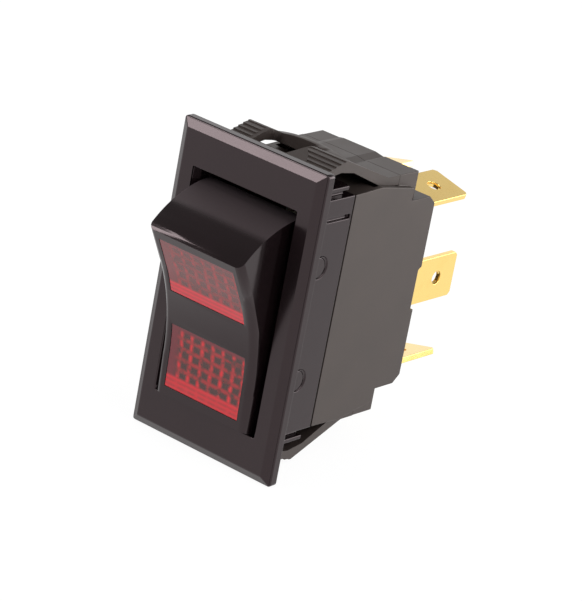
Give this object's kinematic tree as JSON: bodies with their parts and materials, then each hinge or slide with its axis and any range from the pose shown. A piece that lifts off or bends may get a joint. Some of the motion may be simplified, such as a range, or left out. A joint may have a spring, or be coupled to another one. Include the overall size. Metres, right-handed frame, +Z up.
{
  "type": "panel rocker switch",
  "caption": "Snap-in panel rocker switch with a bevelled black flange, a concave rocker with red prismatic lenses, and brass quick-connect tabs behind.",
  "frame": {"origin": "middle of the flange's rear face, on the panel's front face", "axes": "+Y backwards through the panel to the tabs, +Z up along the switch's long side, +X across to the near side"},
  "size_m": [0.0242, 0.0481, 0.043],
  "materials": {
    "gloss_black": "polished black moulding",
    "satin_black": "fine-grained black moulding",
    "red_lens": "clear red prismatic moulding",
    "tab_brass": "bright rolled brass",
    "contact_silver": "silver alloy",
    "contact_copper": "rolled copper strip",
    "plunger_nylon": "natural nylon",
    "spring_steel": "bright wire",
    "holder_nylon": "natural nylon",
    "lamp_glass": "clear bulb",
    "lead_wire": "tinned wire"
  },
  "bodies": {
    "housing": {"bezel_frame": "gloss_black", "base_housing": "satin_black", "centre_tab_near": "tab_brass", "centre_tab_far": "tab_brass", "upper_tab_near": "tab_brass", "upper_tab_far": "tab_brass", "lower_tab_near": "tab_brass", "lower_tab_far": "tab_brass", "upper_contact_near": "contact_silver", "upper_contact_far": "contact_silver", "lower_contact_near": "contact_silver", "lower_contact_far": "contact_silver", "lamp_holder": "holder_nylon", "upper_lamp": "lamp_glass", "lower_lamp": "lamp_glass", "upper_leads": "lead_wire", "lower_leads": "lead_wire"},
    "rocker_body": {"rocker": "gloss_black", "upper_lens": "red_lens", "lower_lens": "red_lens"},
    "near_bar_body": {"contact_bar_near": "contact_copper", "bar_buttons_near": "contact_silver"},
    "far_bar_body": {"contact_bar_far": "contact_copper", "bar_buttons_far": "contact_silver"},
    "near_plunger_body": {"plunger_near": "plunger_nylon", "plunger_spring_near": "spring_steel"},
    "far_plunger_body": {"plunger_far": "plunger_nylon", "plunger_spring_far": "spring_steel"},
    "upper_wing_body": {"upper_wing": "satin_black"},
    "lower_wing_body": {"lower_wing": "satin_black"}
  },
  "joints": [
    {"name": "rocker_tip", "type": "hinge", "parent": "housing", "child": "rocker_body", "pos_m": [0, 0.004, 0], "axis": [-1, 0, 0], "range_deg": [0, 33]},
    {"name": "near_bar_tip", "type": "hinge", "parent": "housing", "child": "near_bar_body", "pos_m": [0.0052, 0.01498, 0], "axis": [1, 0, 0], "range_deg": [0, 12]},
    {"name": "far_bar_tip", "type": "hinge", "parent": "housing", "child": "far_bar_body", "pos_m": [-0.0052, 0.01498, 0], "axis": [1, 0, 0], "range_deg": [0, 12]},
    {"name": "near_plunger_slide", "type": "slide", "parent": "rocker_body", "child": "near_plunger_body", "axis": [0, -0.9588, -0.284], "range_m": [0, 0.0008], "stiffness_N_per_m": 300, "springref_m": -0.003, "deforming": ["plunger_spring_near"]},
    {"name": "far_plunger_slide", "type": "slide", "parent": "rocker_body", "child": "far_plunger_body", "axis": [0, -0.9588, -0.284], "range_m": [0, 0.0008], "stiffness_N_per_m": 300, "springref_m": -0.003, "deforming": ["plunger_spring_far"]},
    {"name": "upper_wing_flex", "type": "hinge", "parent": "housing", "child": "upper_wing_body", "pos_m": [0, 0.0195, 0.0159], "axis": [1, 0, 0], "range_deg": [0, 3.5], "stiffness_Nm_per_rad": 0.4},
    {"name": "lower_wing_flex", "type": "hinge", "parent": "housing", "child": "lower_wing_body", "pos_m": [0, 0.0195, -0.0159], "axis": [-1, 0, 0], "range_deg": [0, 3.5], "stiffness_Nm_per_rad": 0.4}
  ],
  "couplings": [
    {"joint": "near_bar_tip", "follows": "rocker_tip", "ratio": 0.3636},
    {"joint": "far_bar_tip", "follows": "rocker_tip", "ratio": 0.3636}
  ]
}
